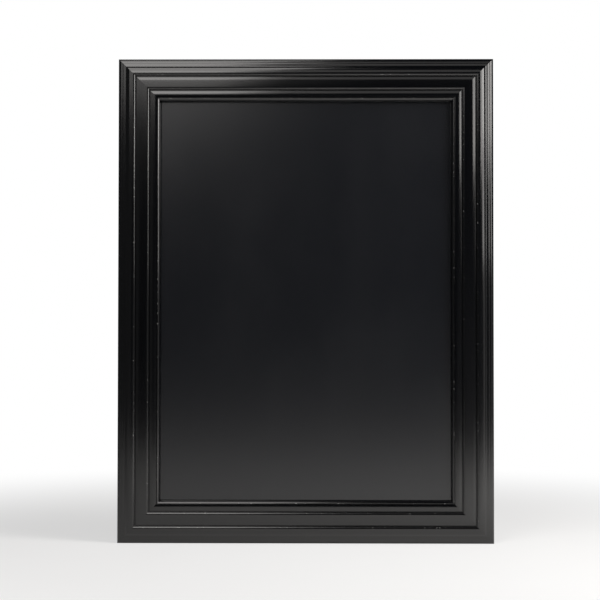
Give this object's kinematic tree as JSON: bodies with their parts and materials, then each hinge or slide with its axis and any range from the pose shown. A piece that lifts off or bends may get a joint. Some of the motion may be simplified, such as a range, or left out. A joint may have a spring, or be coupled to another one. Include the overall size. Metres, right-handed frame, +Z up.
{
  "type": "framed menu chalkboard",
  "caption": "Portrait wall-hung chalkboard: a plain black writing panel in a wide stepped black-lacquered wooden frame, with swinging D-ring hangers behind.",
  "frame": {"origin": "middle of the frame's flat bottom edge, centred across the width and across the flat of the outer wall", "axes": "+Z up the board, +Y out of its back towards the wall, +X to the right of someone reading the front, which faces -Y"},
  "size_m": [0.698, 0.0322, 0.9],
  "materials": {
    "frame_lacquer": "black lacquer, satin to gloss, with a faint grain",
    "writing_face": "smooth semi-matt black chalkboard coating on fibreboard",
    "hardboard": "bare brown hardboard, meshed back",
    "zinc_steel": "bright zinc plate",
    "nickel_wire": "polished nickel plate",
    "bumper_rubber": "matt black rubber"
  },
  "bodies": {
    "board": {"bottom_rail": "frame_lacquer", "top_rail": "frame_lacquer", "left_stile": "frame_lacquer", "right_stile": "frame_lacquer", "v_nail_bottom_left_1": "zinc_steel", "v_nail_bottom_left_2": "zinc_steel", "v_nail_bottom_right_1": "zinc_steel", "v_nail_bottom_right_2": "zinc_steel", "v_nail_top_left_1": "zinc_steel", "v_nail_top_left_2": "zinc_steel", "v_nail_top_right_1": "zinc_steel", "v_nail_top_right_2": "zinc_steel", "writing_panel": "writing_face", "backing_board": "hardboard", "framing_point_bottom_rail_1": "zinc_steel", "framing_point_bottom_rail_2": "zinc_steel", "framing_point_top_rail_1": "zinc_steel", "framing_point_top_rail_2": "zinc_steel", "framing_point_left_stile_1": "zinc_steel", "framing_point_left_stile_2": "zinc_steel", "framing_point_left_stile_3": "zinc_steel", "framing_point_right_stile_1": "zinc_steel", "framing_point_right_stile_2": "zinc_steel", "framing_point_right_stile_3": "zinc_steel", "hanger_strap_left": "zinc_steel", "hanger_screw_left_1": "zinc_steel", "hanger_screw_left_2": "zinc_steel", "wall_bumper_left": "bumper_rubber", "hanger_strap_right": "zinc_steel", "hanger_screw_right_1": "zinc_steel", "hanger_screw_right_2": "zinc_steel", "wall_bumper_right": "bumper_rubber"},
    "left_ring": {"d_ring_left": "nickel_wire"},
    "right_ring": {"d_ring_right": "nickel_wire"}
  },
  "joints": [
    {"name": "left_ring_swing", "type": "hinge", "parent": "board", "child": "left_ring", "pos_m": [-0.314, 0.0103, 0.71], "axis": [1, 0, 0], "range_deg": [0, 180]},
    {"name": "right_ring_swing", "type": "hinge", "parent": "board", "child": "right_ring", "pos_m": [0.314, 0.0103, 0.71], "axis": [1, 0, 0], "range_deg": [0, 180]}
  ]
}
